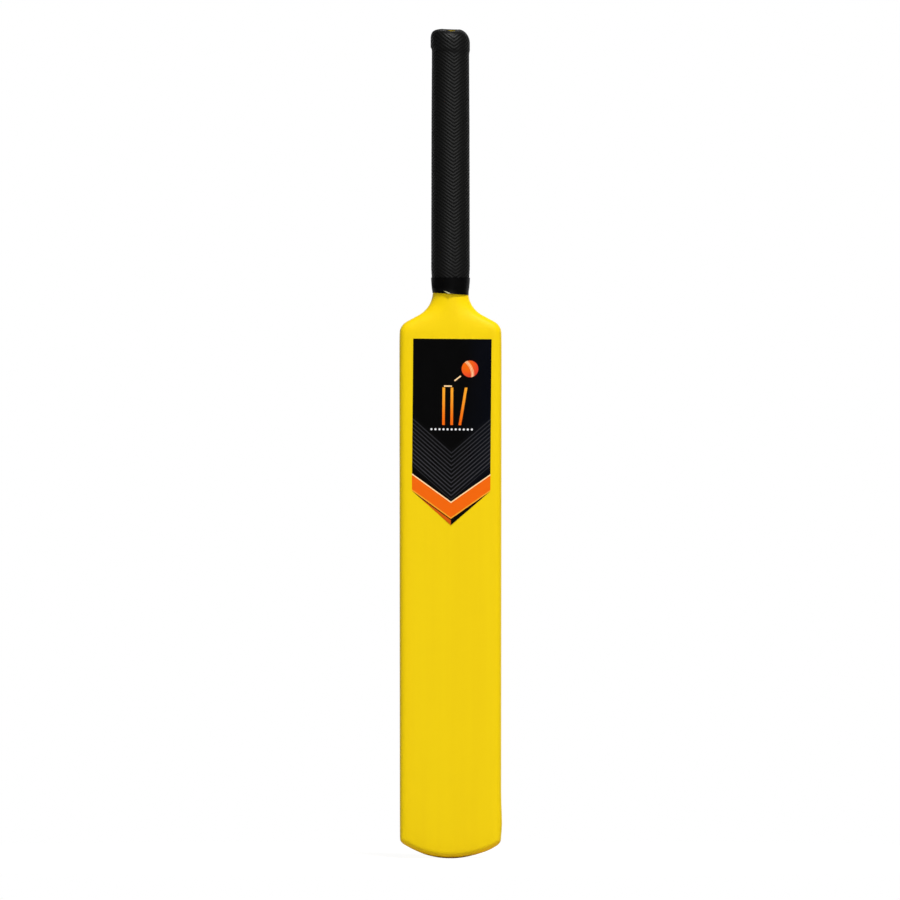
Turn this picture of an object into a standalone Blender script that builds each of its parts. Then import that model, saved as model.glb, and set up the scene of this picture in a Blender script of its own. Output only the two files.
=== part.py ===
"""A full-size plastic cricket bat: a hollow moulded blade and handle, the plug in its blow hole, a rubber
sleeve over the handle, the tape wound over the sleeve's foot, and the sticker on the hitting face.

The bat stands on its toe along +Z, with its hitting face towards -Y. Everything is in metres.
"""

import math

import bmesh
import bpy
from mathutils import Vector

# Blade, seen from the front
OVERALL_LENGTH = 0.860
TOE_WIDTH = 0.105
BLADE_FLARE = 0.001
SHOULDER_HEIGHT = 0.5446
SHOULDER_CORNER_RADIUS = 0.014
SHOULDER_SLOPE = math.radians(27.5)
NECK_FILLET_RADIUS = 0.028
NECK_DIAMETER = 0.0364
TOE_RADIUS = 0.090

# Blade, seen from the side
EDGE_THICKNESS = 0.022
EDGE_RADIUS = 0.007
TOE_THICKNESS = 0.026
SWELL_THICKNESS = 0.048
SWELL_HEIGHT = 0.200
SHOULDER_THICKNESS = 0.036
RIDGE_WIDTH = 0.010
FACE_BOW = 0.003
WALL = 0.0045

# Handle tube, with a flange at its end
HANDLE_AXIS_DEPTH = 0.017
HANDLE_FOOT_DIAMETER = 0.0354
HANDLE_TOP_DIAMETER = 0.0344
HANDLE_STEP_HEIGHT = 0.002
FLANGE_DIAMETER = 0.0358
FLANGE_LENGTH = 0.020
FLANGE_SLOPE_LENGTH = 0.003
HANDLE_END_RADIUS = 0.006
HANDLE_END_WALL = 0.005
BLOW_HOLE_DIAMETER = 0.008

# Plug in the blow hole
PLUG_HEAD_DIAMETER = 0.011
PLUG_HEAD_THICKNESS = 0.0009
PLUG_LENGTH = 0.009
PLUG_TIP_DIAMETER = 0.006
PLUG_SIDE_CLEARANCE = 0.0002

# Rubber sleeve
SLEEVE_WALL = 0.0016
SLEEVE_FOOT_WALL = 0.0005
SLEEVE_FOOT_GAP = 0.006
SLEEVE_THINNED_LENGTH = 0.018
SLEEVE_MOUTH_DIAMETER = 0.0178
CUFF_LENGTH = 0.026
CUFF_STEP = 0.0006
CUFF_STEP_LENGTH = 0.0015
CUFF_TOP_RADIUS = 0.0075

# Binding tape, wound once round and a little more
TAPE_WIDTH = 0.0165
TAPE_THICKNESS = 0.0003
TAPE_LAYER_GAP = 0.00045
TAPE_TURNS = 1.2
TAPE_FOOT_BELOW_NECK_TOP = 0.002
TAPE_LOOSE_END_ANGLE = math.radians(-28)
TAPE_LOOSE_LENGTH = 0.020
TAPE_LOOSE_LIFT = 0.0014

# Sticker on the hitting face
STICKER_WIDTH = 0.0814
STICKER_SIDE_LENGTH = 0.1577
STICKER_POINT_LENGTH = 0.0355
STICKER_BELOW_SHOULDER = 0.0059
STICKER_THICKNESS = 0.0003

# Gap between a piece and the one that it sits on
SEAT_GAP = 0.0003

# How finely the round shapes are cut
FACE_STEPS = 7
EDGE_STEPS = 3
SIDE_STEPS = 2
HALF_STEPS = 2 * FACE_STEPS + 2 * EDGE_STEPS + SIDE_STEPS
RING_STEPS = 2 * HALF_STEPS
BLADE_STEPS = 11
SHOULDER_CORNER_STEPS = 4
NECK_FILLET_STEPS = 6
TOE_EDGE_STEPS = 4
HANDLE_END_STEPS = 3
TAPE_STEPS = 60
TAPE_RAMP_START = 0.85

# Sizes that follow from the ones above
SHOULDER_WIDTH = TOE_WIDTH + BLADE_FLARE
EDGE_ROUND = max(EDGE_RADIUS, WALL + 0.001)
NECK_RADIUS = NECK_DIAMETER / 2
FRONT = Vector((0, -1, 0))
BACK = Vector((0, 1, 0))


def smooth(share):
    """An S-shaped run from 0 to 1, level at both ends."""
    share = min(max(share, 0), 1)
    return share * share * (3 - 2 * share)


def toe_core_height(x):
    """Height of the toe's curve at x, drawn in by the radius of its rounded edge."""
    return TOE_RADIUS - math.sqrt((TOE_RADIUS - EDGE_ROUND) ** 2 - x * x)


def toe_normal(x):
    """Direction that the toe's curved underside faces at x."""
    return Vector((x, 0, toe_core_height(x) - TOE_RADIUS)).normalized()


TOE_SIDE_HEIGHT = toe_core_height(TOE_WIDTH / 2 - EDGE_ROUND)
BLADE_STEP_LENGTH = (SHOULDER_HEIGHT - TOE_SIDE_HEIGHT) / BLADE_STEPS
BLADE_HEIGHTS = [TOE_SIDE_HEIGHT + BLADE_STEP_LENGTH * i for i in range(BLADE_STEPS + 1)]


def bow_at_step(step):
    """How far the hitting face lies behind its middle at one of the blade's steps: the ends come forward."""
    return -FACE_BOW * (2 * step / BLADE_STEPS - 1) ** 2


def face_depth(z):
    """Depth of the hitting face at a height, straight between two of the blade's steps."""
    place = min((z - TOE_SIDE_HEIGHT) / BLADE_STEP_LENGTH, BLADE_STEPS)
    step = min(max(math.floor(place), 0), BLADE_STEPS - 1)
    low, high = bow_at_step(step), bow_at_step(step + 1)
    return low + (high - low) * (place - step)


def thickness(z):
    """Thickness at the spine: thin at the toe, thickest at the swell, thinner again at the shoulders."""
    if z < SWELL_HEIGHT:
        return TOE_THICKNESS + (SWELL_THICKNESS - TOE_THICKNESS) * smooth(z / SWELL_HEIGHT)
    share = smooth((z - SWELL_HEIGHT) / (SHOULDER_HEIGHT - SWELL_HEIGHT))
    return SWELL_THICKNESS + (SHOULDER_THICKNESS - SWELL_THICKNESS) * share


def blade_width(z):
    share = (z - TOE_SIDE_HEIGHT) / (SHOULDER_HEIGHT - TOE_SIDE_HEIGHT)
    return TOE_WIDTH + (SHOULDER_WIDTH - TOE_WIDTH) * share


def turn(start, end, share):
    """Unit vector part of the way from one direction round to another."""
    angle = start.angle(end)
    if angle < 1e-6:
        return start.copy()
    mixed = start * math.sin((1 - share) * angle) + end * math.sin(share * angle)
    return mixed.normalized()


def back_curve(x, half_width, edge, spine):
    """Depth and normal of the scooped back at x, between the blade's edge and its spine."""
    run = half_width - RIDGE_WIDTH / 2
    share = min(max((half_width - x) / run, 0), 1)
    depth = edge + (spine - edge) * smooth(share)
    steepness = (spine - edge) * 6 * share * (1 - share) / run
    return depth, Vector((steepness, 1, 0)).normalized()


def half_blade_ring(core_half_width, side):
    """Half a section through the blade, from the middle of the face round the edge to the spine.

    Each point is the surface that it is on, its x and its normal, or None where the back's slope gives it.
    The points are the section's core: the section drawn in by the rounded edge's radius, so that the
    outer and the inner wall are the same core pushed out by different amounts.
    """
    points = []
    for i in range(FACE_STEPS + 1):
        points.append(("face", core_half_width * i / FACE_STEPS, FRONT))
    for i in range(1, EDGE_STEPS + 1):
        points.append(("face", core_half_width, turn(FRONT, side, i / EDGE_STEPS)))
    for i in range(1, SIDE_STEPS):
        points.append(("side", core_half_width, side))
    for i in range(EDGE_STEPS):
        points.append(("back", core_half_width, turn(side, BACK, i / EDGE_STEPS)))
    for i in range(FACE_STEPS, -1, -1):
        points.append(("back", core_half_width * i / FACE_STEPS, None))
    return points


def blade_point(kind, x, normal, core_half_width, z):
    """Core point and normal of one point of the blade's section, at height z."""
    face = face_depth(z) + EDGE_ROUND
    edge = face_depth(z) + EDGE_THICKNESS - EDGE_ROUND
    spine = face_depth(z) + thickness(z) - EDGE_ROUND
    if kind == "face":
        return Vector((x, face, z)), normal
    if kind == "side":
        return Vector((x, (face + edge) / 2, z)), normal
    depth, slope = back_curve(x, core_half_width, edge, spine)
    return Vector((x, depth, z)), normal or slope


def neck_point(index, core_half_width, side, z):
    """Core point and normal of the round section that the shoulders run into."""
    angle = math.pi * index / HALF_STEPS
    core_radius = NECK_RADIUS - EDGE_ROUND
    core = Vector(
        (
            core_half_width * math.sin(angle),
            HANDLE_AXIS_DEPTH - core_radius * math.cos(angle),
            z,
        )
    )
    return core, (FRONT * math.cos(angle) + side * math.sin(angle)).normalized()


def whole_ring(half):
    """The ring whose first half is given, with the other half mirrored in the plane x = 0."""
    mirrored = [Vector((-p.x, p.y, p.z)) for p in half[-2:0:-1]]
    return half + mirrored


def section_ring(core_half_width, z, side, roundness, inset):
    """A ring round the bat: a blade section, a round one, or a mix of both on the shoulders."""
    half = []
    for index, (kind, x, normal) in enumerate(half_blade_ring(core_half_width, side)):
        core, normal = blade_point(kind, x, normal, core_half_width, z)
        round_core, round_normal = neck_point(index, core_half_width, side, z)
        core = core.lerp(round_core, roundness)
        normal = normal.lerp(round_normal, roundness).normalized()
        half.append(core + normal * (EDGE_ROUND - inset))
    return whole_ring(half)


def toe_ring(share, inset):
    """A ring that follows the toe's curve. Share 0 ends the upright walls and 1 is the underside."""
    core_half_width = TOE_WIDTH / 2 - EDGE_ROUND
    side = Vector((1, 0, 0))
    half = []
    for kind, x, normal in half_blade_ring(core_half_width, side):
        core, normal = blade_point(kind, x, normal, core_half_width, toe_core_height(x))
        normal = turn(normal, toe_normal(x), share)
        half.append(core + normal * (EDGE_ROUND - inset))
    return whole_ring(half)


def shoulder_stations():
    """Core half width, core height and side normal at each step from the shoulder's corner up to the neck."""
    corner = Vector((SHOULDER_WIDTH / 2 - SHOULDER_CORNER_RADIUS, 0, SHOULDER_HEIGHT))
    steepest = math.pi / 2 - SHOULDER_SLOPE
    slope_normal = Vector((math.cos(steepest), 0, math.sin(steepest)))
    fillet = Vector((NECK_RADIUS + NECK_FILLET_RADIUS, 0, 0))
    reach = SHOULDER_CORNER_RADIUS + NECK_FILLET_RADIUS
    fillet.z = corner.z + ((corner.x - fillet.x) * slope_normal.x + reach) / slope_normal.z
    stations = []
    for i in range(1, SHOULDER_CORNER_STEPS + 1):
        angle = steepest * i / SHOULDER_CORNER_STEPS
        side = Vector((math.cos(angle), 0, math.sin(angle)))
        stations.append((corner + side * (SHOULDER_CORNER_RADIUS - EDGE_ROUND), side))
    for i in range(NECK_FILLET_STEPS + 1):
        angle = steepest * (1 - i / NECK_FILLET_STEPS)
        side = Vector((math.cos(angle), 0, math.sin(angle)))
        stations.append((fillet - side * (NECK_FILLET_RADIUS + EDGE_ROUND), side))
    return stations


NECK_TOP_HEIGHT = shoulder_stations()[-1][0].z
SLEEVE_FOOT_HEIGHT = NECK_TOP_HEIGHT + SLEEVE_FOOT_GAP
HANDLE_END_HEIGHT = OVERALL_LENGTH - SLEEVE_WALL - SEAT_GAP
FLANGE_FOOT_HEIGHT = HANDLE_END_HEIGHT - FLANGE_LENGTH


def handle_radius(z):
    """Outer radius of the neck and the handle tube at a height, below the flange."""
    if z < NECK_TOP_HEIGHT:
        drop = min(NECK_TOP_HEIGHT - z, NECK_FILLET_RADIUS)
        return NECK_RADIUS + NECK_FILLET_RADIUS - math.sqrt(NECK_FILLET_RADIUS**2 - drop**2)
    foot = NECK_TOP_HEIGHT + HANDLE_STEP_HEIGHT
    if z < foot:
        share = (z - NECK_TOP_HEIGHT) / HANDLE_STEP_HEIGHT
        return NECK_RADIUS + (HANDLE_FOOT_DIAMETER / 2 - NECK_RADIUS) * share
    share = (z - foot) / (HANDLE_END_HEIGHT - foot)
    return (HANDLE_FOOT_DIAMETER + (HANDLE_TOP_DIAMETER - HANDLE_FOOT_DIAMETER) * share) / 2


def round_ring(radius, z):
    """A ring round the handle's axis, with its points where the blade's rings have theirs."""
    half = []
    for index in range(HALF_STEPS + 1):
        angle = math.pi * index / HALF_STEPS
        x, y = radius * math.sin(angle), HANDLE_AXIS_DEPTH - radius * math.cos(angle)
        half.append(Vector((x, y, z)))
    return whole_ring(half)


def handle_outside():
    """Radius and height of the handle tube's outer profile, from the neck to the blow hole's rim."""
    foot = NECK_TOP_HEIGHT + HANDLE_STEP_HEIGHT
    flange = FLANGE_DIAMETER / 2
    profile = [(handle_radius(foot), foot)]
    profile.append((handle_radius(FLANGE_FOOT_HEIGHT), FLANGE_FOOT_HEIGHT))
    profile.append((flange, FLANGE_FOOT_HEIGHT + FLANGE_SLOPE_LENGTH))
    for i in range(HANDLE_END_STEPS + 1):
        angle = math.pi / 2 * i / HANDLE_END_STEPS
        radius = flange - HANDLE_END_RADIUS * (1 - math.cos(angle))
        profile.append((radius, HANDLE_END_HEIGHT - HANDLE_END_RADIUS * (1 - math.sin(angle))))
    profile.append((BLOW_HOLE_DIAMETER / 2, HANDLE_END_HEIGHT))
    return profile


def handle_inside():
    """The profile of the blow hole and the handle's bore, from the hole's inner rim down to the neck."""
    under_end = HANDLE_END_HEIGHT - HANDLE_END_WALL
    foot = NECK_TOP_HEIGHT + HANDLE_STEP_HEIGHT
    return [
        (BLOW_HOLE_DIAMETER / 2, under_end),
        (handle_radius(HANDLE_END_HEIGHT) - WALL, under_end),
        (handle_radius(foot) - WALL, foot),
    ]


def shell_rings(inset):
    """Rings from the toe's underside up to the top of the neck, on the outer or the inner surface."""
    rings = [toe_ring(1 - i / TOE_EDGE_STEPS, inset) for i in range(TOE_EDGE_STEPS + 1)]
    for z in BLADE_HEIGHTS[1:]:
        rings.append(section_ring(blade_width(z) / 2 - EDGE_ROUND, z, Vector((1, 0, 0)), 0, inset))
    for core, side in shoulder_stations():
        climbed = (core.z - SHOULDER_HEIGHT) / (NECK_TOP_HEIGHT - SHOULDER_HEIGHT)
        rings.append(section_ring(core.x, core.z, side, smooth(climbed), inset))
    return rings


def add_ring(bm, points):
    return [bm.verts.new(point) for point in points]


def join_rings(bm, lower, upper):
    """Quads between two rings of as many points, facing out where the second is higher up the outside."""
    for i in range(len(lower)):
        j = (i + 1) % len(lower)
        bm.faces.new((lower[i], lower[j], upper[j], upper[i]))


def close_ring(bm, ring):
    """Strips across a ring, each from a point on the face's side to the one behind it."""
    for half in (ring[: HALF_STEPS + 1], [ring[0]] + ring[: HALF_STEPS - 1 : -1]):
        for i in range(HALF_STEPS // 2):
            corners = [half[i], half[i + 1], half[HALF_STEPS - i - 1], half[HALF_STEPS - i]]
            bm.faces.new(dict.fromkeys(corners))


def material(name, colour, roughness):
    made = bpy.data.materials.new(name)
    made.use_nodes = True
    shader = made.node_tree.nodes["Principled BSDF"]
    shader.inputs["Base Color"].default_value = (*colour, 1)
    shader.inputs["Roughness"].default_value = roughness
    shader.inputs["Metallic"].default_value = 0
    return made


def finish(bm, name, surface, carrier):
    """Makes an object of the mesh, with its faces outward, shaded smooth and carried by the bat's empty."""
    bmesh.ops.recalc_face_normals(bm, faces=bm.faces)
    mesh = bpy.data.meshes.new(name)
    bm.to_mesh(mesh)
    bm.free()
    mesh.shade_smooth()
    mesh.set_sharp_from_angle(angle=math.radians(35))
    mesh.materials.append(surface)
    made = bpy.data.objects.new(name, mesh)
    bpy.context.collection.objects.link(made)
    made.parent = carrier
    return made


def make_blade_shell():
    """The hollow moulding: its outer surface, over the handle's end and down the blow hole to the inner."""
    bm = bmesh.new()
    rings = shell_rings(0)
    rings += [round_ring(radius, z) for radius, z in handle_outside()]
    rings += [round_ring(radius, z) for radius, z in handle_inside()]
    rings += shell_rings(WALL)[::-1]
    made = [add_ring(bm, ring) for ring in rings]
    for lower, upper in zip(made, made[1:]):
        join_rings(bm, lower, upper)
    close_ring(bm, made[0])
    close_ring(bm, made[-1])
    return bm


def turned(profile):
    """A profile of (radius, height) points spun round the handle's axis, and closed unless it starts on it."""
    bm = bmesh.new()
    corners = [bm.verts.new((0, HANDLE_AXIS_DEPTH - radius, z)) for radius, z in profile]
    after = corners[1:] + (corners[:1] if profile[0][0] else [])
    edges = [bm.edges.new(pair) for pair in zip(corners, after)]
    axis = {"cent": (0, HANDLE_AXIS_DEPTH, 0), "axis": (0, 0, 1), "angle": math.tau}
    bmesh.ops.spin(bm, geom=corners + edges, steps=RING_STEPS, **axis)
    bmesh.ops.remove_doubles(bm, verts=bm.verts, dist=1e-6)
    return bm


def make_plug():
    """A plug with a flat head over the blow hole and a shank that narrows to its tip."""
    shank = BLOW_HOLE_DIAMETER / 2 - PLUG_SIDE_CLEARANCE
    under_head = HANDLE_END_HEIGHT + SEAT_GAP
    tip = HANDLE_END_HEIGHT - PLUG_LENGTH
    return turned(
        [
            (0, tip),
            (PLUG_TIP_DIAMETER / 2, tip),
            (shank, HANDLE_END_HEIGHT - HANDLE_END_WALL),
            (shank, under_head),
            (PLUG_HEAD_DIAMETER / 2, under_head),
            (PLUG_HEAD_DIAMETER / 2, under_head + PLUG_HEAD_THICKNESS),
            (0, under_head + PLUG_HEAD_THICKNESS),
        ]
    )


def sleeve_radius(z):
    """Outer radius of the sleeve below its cuff: its wall thins towards the foot, where the tape pulls it in."""
    thinned = 1 - min((z - SLEEVE_FOOT_HEIGHT) / SLEEVE_THINNED_LENGTH, 1)
    wall = SLEEVE_WALL + (SLEEVE_FOOT_WALL - SLEEVE_WALL) * thinned
    return handle_radius(z) + SEAT_GAP + wall


def make_sleeve():
    """The rubber tube, open at its foot, with a cuff round the flange and a mouth over the handle's end."""
    cuff_foot = OVERALL_LENGTH - CUFF_LENGTH
    cuff = FLANGE_DIAMETER / 2 + SEAT_GAP + SLEEVE_WALL + CUFF_STEP
    mouth = SLEEVE_MOUTH_DIAMETER / 2
    above_foot = SLEEVE_FOOT_HEIGHT + SLEEVE_THINNED_LENGTH
    outside = [(sleeve_radius(z), z) for z in (SLEEVE_FOOT_HEIGHT, above_foot, cuff_foot)]
    outside.append((cuff, cuff_foot + CUFF_STEP_LENGTH))
    for i in range(HANDLE_END_STEPS + 1):
        angle = math.pi / 2 * i / HANDLE_END_STEPS
        radius = cuff - CUFF_TOP_RADIUS * (1 - math.cos(angle))
        outside.append((radius, OVERALL_LENGTH - CUFF_TOP_RADIUS * (1 - math.sin(angle))))
    outside.append((mouth, OVERALL_LENGTH))
    inside = []
    for radius, z in handle_outside()[:-1]:
        above_end = SEAT_GAP if z == HANDLE_END_HEIGHT else 0
        inside.append((radius + SEAT_GAP, z + above_end))
    inside[0] = (handle_radius(SLEEVE_FOOT_HEIGHT) + SEAT_GAP, SLEEVE_FOOT_HEIGHT)
    inside.append((mouth, HANDLE_END_HEIGHT + SEAT_GAP))
    return turned(outside + inside[::-1])


def under_tape(z):
    """Radius of what the tape lies on: the neck below the sleeve's foot, and the sleeve above it."""
    return sleeve_radius(z) if z >= SLEEVE_FOOT_HEIGHT else handle_radius(z)


def tape_lift(wound, height_share):
    """How far the tape stands off at a number of turns from its start: over its first layer, and loose."""
    ramp = smooth((wound - TAPE_RAMP_START) / (1 - TAPE_RAMP_START))
    loose_turns = TAPE_LOOSE_LENGTH / (math.tau * under_tape(NECK_TOP_HEIGHT))
    loose = max(0, 1 - (TAPE_TURNS - wound) / loose_turns)
    lift = TAPE_LOOSE_LIFT * loose**1.5 * (1 - 0.7 * height_share)
    return (TAPE_THICKNESS + TAPE_LAYER_GAP) * ramp + lift


def tape_rows():
    """The tape's two surfaces: for each step along it, its (inner, outer) points from the foot up."""
    foot = NECK_TOP_HEIGHT - TAPE_FOOT_BELOW_NECK_TOP
    heights = [foot, SLEEVE_FOOT_HEIGHT, foot + TAPE_WIDTH]
    radii = [under_tape(z) + SEAT_GAP for z in heights]
    rows = []
    for step in range(TAPE_STEPS + 1):
        wound = TAPE_TURNS * step / TAPE_STEPS
        angle = TAPE_LOOSE_END_ANGLE + math.tau * (TAPE_TURNS - wound)
        outward = Vector((math.sin(angle), -math.cos(angle), 0))
        axis = Vector((0, HANDLE_AXIS_DEPTH, 0))
        row = []
        for z, radius in zip(heights, radii):
            inner = radius + tape_lift(wound, (z - foot) / TAPE_WIDTH)
            row.append([axis + outward * r + Vector((0, 0, z)) for r in (inner, inner + TAPE_THICKNESS)])
        rows.append(row)
    return rows


def make_tape():
    """One unbroken band, wound a little over one turn so that its loose end lies over its start."""
    bm = bmesh.new()
    rings = []
    for row in tape_rows():
        inner = [pair[0] for pair in row]
        outer = [pair[1] for pair in row]
        rings.append(add_ring(bm, inner + outer[::-1]))
    for lower, upper in zip(rings, rings[1:]):
        join_rings(bm, lower, upper)
    bm.faces.new(rings[0])
    bm.faces.new(rings[-1])
    return bm


def least_tape_gap():
    """Least distance between points of the tape's under layer and of the layer wound over it."""
    rows = tape_rows()
    whole_turn = round(TAPE_STEPS / TAPE_TURNS)
    over = [pair[0] for row in rows[whole_turn:] for pair in row]
    under = [pair[1] for row in rows[: TAPE_STEPS - whole_turn + 1] for pair in row]
    return min((a - b).length for a in over for b in under)


def make_sticker():
    """The die-cut sheet: a rectangle with a point below, laid along the bow of the hitting face."""
    top = SHOULDER_HEIGHT - STICKER_BELOW_SHOULDER
    side_end = top - STICKER_SIDE_LENGTH
    half = STICKER_WIDTH / 2
    outline = [(-half, top), (-half, side_end), (0, side_end - STICKER_POINT_LENGTH), (half, side_end), (half, top)]
    bm = bmesh.new()
    bm.faces.new([bm.verts.new((x, 0, z)) for x, z in outline])
    for z in BLADE_HEIGHTS:
        everything = bm.verts[:] + bm.edges[:] + bm.faces[:]
        bmesh.ops.bisect_plane(bm, geom=everything, plane_co=(0, 0, z), plane_no=(0, 0, 1))
    for vert in bm.verts:
        vert.co.y = face_depth(vert.co.z) - SEAT_GAP
    copied = bmesh.ops.extrude_face_region(bm, geom=bm.faces[:])["geom"]
    raised = [item for item in copied if isinstance(item, bmesh.types.BMVert)]
    bmesh.ops.translate(bm, verts=raised, vec=FRONT * STICKER_THICKNESS)
    return bm


def centre_in_depth(carrier, pieces):
    """Moves the bat so that the origin is under the middle of its depth."""
    depths = [vert.co.y for piece in pieces for vert in piece.data.vertices]
    carrier.location.y = -(min(depths) + max(depths)) / 2


def main():
    for old in list(bpy.data.objects):
        bpy.data.objects.remove(old, do_unlink=True)
    carrier = bpy.data.objects.new("bat_axis", None)
    bpy.context.collection.objects.link(carrier)
    yellow = (0.863, 0.610, 0.002)
    moulded = material("moulded_polyethylene", yellow, 0.38)
    plug_plastic = material("plug_polyethylene", yellow, 0.42)
    rubber = material("grip_rubber", (0.016, 0.016, 0.015), 0.62)
    tape_vinyl = material("tape_vinyl", (0.004, 0.004, 0.004), 0.45)
    sticker_vinyl = material("sticker_vinyl", (0.004, 0.004, 0.005), 0.22)
    pieces = [
        finish(make_blade_shell(), "blade_shell", moulded, carrier),
        finish(make_plug(), "handle_end_plug", plug_plastic, carrier),
        finish(make_sleeve(), "grip_sleeve", rubber, carrier),
        finish(make_tape(), "binding_tape", tape_vinyl, carrier),
        finish(make_sticker(), "face_sticker", sticker_vinyl, carrier),
    ]
    centre_in_depth(carrier, pieces)
    print(f"least gap between the tape's layers: {least_tape_gap() * 1000:.2f} mm")


main()
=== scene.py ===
# %% [markdown]
# A plastic cricket bat is one hollow moulding, blown in a two-part mould, with a ribbed rubber sleeve
# pulled over its handle, tape wound round the sleeve's foot and a sticker on its hitting face. The packed
# solids give every size and place, and this lesson dresses them. They are loaded first, and their boxes
# are printed.

# %% The imported bat
import math

import bmesh
import bpy
import numpy as np
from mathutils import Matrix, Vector


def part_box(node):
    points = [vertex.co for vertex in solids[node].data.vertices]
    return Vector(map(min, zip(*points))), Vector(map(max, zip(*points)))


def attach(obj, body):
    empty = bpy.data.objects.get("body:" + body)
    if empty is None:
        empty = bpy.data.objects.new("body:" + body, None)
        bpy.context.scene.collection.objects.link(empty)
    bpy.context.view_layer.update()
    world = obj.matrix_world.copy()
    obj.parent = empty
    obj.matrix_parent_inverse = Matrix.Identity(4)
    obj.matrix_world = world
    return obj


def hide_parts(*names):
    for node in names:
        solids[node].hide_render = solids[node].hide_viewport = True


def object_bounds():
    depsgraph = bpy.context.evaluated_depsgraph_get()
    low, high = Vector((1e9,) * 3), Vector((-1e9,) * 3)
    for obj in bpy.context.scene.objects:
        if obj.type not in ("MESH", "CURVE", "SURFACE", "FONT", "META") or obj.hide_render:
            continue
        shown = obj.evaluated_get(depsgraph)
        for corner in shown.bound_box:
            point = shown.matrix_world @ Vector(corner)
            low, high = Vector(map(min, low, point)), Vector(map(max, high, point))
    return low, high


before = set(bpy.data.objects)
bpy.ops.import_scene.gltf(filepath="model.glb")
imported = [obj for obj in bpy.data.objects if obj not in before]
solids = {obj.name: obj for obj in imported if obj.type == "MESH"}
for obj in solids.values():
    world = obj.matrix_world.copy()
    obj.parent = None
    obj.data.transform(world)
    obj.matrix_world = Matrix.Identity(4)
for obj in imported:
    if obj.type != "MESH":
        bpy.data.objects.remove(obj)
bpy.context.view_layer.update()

for node_name in sorted(solids):
    low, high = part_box(node_name)
    print(node_name, "from", [round(c, 4) for c in low], "to", [round(c, 4) for c in high])

# %% [markdown]
# Most steps below use the same few moves of the hand: pick one piece up, go into edit mode, choose points,
# edges or faces by where they are, and leave edit mode again. Short functions for them keep the later
# cells readable. Everything else is let go first, because an operator works on all that is selected.

# %% Moves of the hand
SAME_POINT = 0.00001


def put_in_hand(piece):
    """Leaves one piece selected and active."""
    bpy.ops.object.select_all(action="DESELECT")
    piece.select_set(True)
    bpy.context.view_layer.objects.active = piece


def pick_up(piece):
    """Takes one piece in hand, and goes into edit mode on it."""
    put_in_hand(piece)
    bpy.ops.object.mode_set(mode="EDIT")


def put_down():
    bpy.ops.object.mode_set(mode="OBJECT")


def start_piece(name, add_primitive, **settings):
    """Lets everything go, adds a primitive as the start of a piece, and names it."""
    bpy.ops.object.select_all(action="DESELECT")
    add_primitive(**settings)
    piece = bpy.context.object
    piece.name = name
    return piece


def apply_modifier(piece, kind, **settings):
    """Adds one modifier to a piece with these settings, and applies it."""
    put_in_hand(piece)
    modifier = piece.modifiers.new(kind.title(), kind)
    for name, value in settings.items():
        setattr(modifier, name, value)
    bpy.ops.object.modifier_apply(modifier=modifier.name)

# %% Choosing what an operator works on
LEVEL = 0.8


def middle(item):
    """Middle of an edge or a face."""
    return sum((vert.co for vert in item.verts), Vector()) / len(item.verts)


def choose(piece, kind, test):
    """In edit mode, selects the points, edges or faces that pass a test, and gives their number."""
    bpy.ops.mesh.select_mode(type=kind)
    mesh = bmesh.from_edit_mesh(piece.data)
    for item in [*mesh.verts, *mesh.edges, *mesh.faces]:
        item.select = False
    items = {"VERT": mesh.verts, "EDGE": mesh.edges, "FACE": mesh.faces}[kind]
    chosen = [item for item in items if test(item)]
    for item in chosen:
        item.select_set(True)
    bmesh.update_edit_mesh(piece.data)
    return len(chosen)


def choose_all():
    bpy.ops.mesh.select_all(action="SELECT")


def turn_outward():
    """In edit mode, makes every face of a piece point outwards."""
    choose_all()
    bpy.ops.mesh.normals_make_consistent(inside=False)

# %% [markdown]
# The moulding is the blade, the shoulders, the neck and the handle's tube in one. A copy of the packed
# solid would have flat facets of uneven size, and a Subdivision Surface needs even four-sided faces. So it
# is laid out again from the same sizes: a flat grid gets a row for each ring up the bat. A ring on the
# blade is drawn as a core, the section without its rounded edges, and the way in which each point of it
# faces, so the edge's radius is one number everywhere.

# %% The moulding's sizes
MOULDING = "blade_shell"
MOULDING_LOW, MOULDING_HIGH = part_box(MOULDING)
GRIP_LOW, GRIP_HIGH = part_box("grip_sleeve")
GRIP_AXIS = (GRIP_LOW.y + GRIP_HIGH.y) / 2
HANDLE_END = MOULDING_HIGH.z
SHOULDER_WIDTH = MOULDING_HIGH.x - MOULDING_LOW.x
TOE_WIDTH = SHOULDER_WIDTH - 0.001
TOE_RADIUS = 0.090
SHOULDER_HEIGHT = 0.5446
CORNER_RADIUS = 0.014
SHOULDER_SLOPE = math.radians(27.5)
FILLET_RADIUS = 0.028
NECK_RADIUS = 0.0182
FACE = GRIP_AXIS - 0.017
FACE_BOW = 0.003
EDGE_THICKNESS = 0.022
EDGE_RADIUS = 0.007
TOE_THICKNESS = 0.026
SWELL_THICKNESS = 0.048
SWELL_HEIGHT = 0.200
SHOULDER_THICKNESS = 0.036
RIDGE_WIDTH = 0.010
WALL = 0.0045
FACE_STEPS = 7
EDGE_STEPS = 3
HALF_STEPS = 2 * FACE_STEPS + 2 * EDGE_STEPS + 2
SEAM_STEP = HALF_STEPS // 2
TOE_STEPS = 4
BLADE_STEPS = 11
CORNER_STEPS = 4
FILLET_STEPS = 6
FRONT, BACK, RIGHT = Vector((0, -1, 0)), Vector((0, 1, 0)), Vector((1, 0, 0))


def smooth(share):
    """An S-shaped run from 0 to 1, level at both ends."""
    share = np.clip(share, 0, 1)
    return share * share * (3 - 2 * share)


def toe_core_height(x):
    return TOE_RADIUS - math.sqrt((TOE_RADIUS - EDGE_RADIUS) ** 2 - x * x)


BLADE_FOOT = toe_core_height(TOE_WIDTH / 2 - EDGE_RADIUS)


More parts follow.
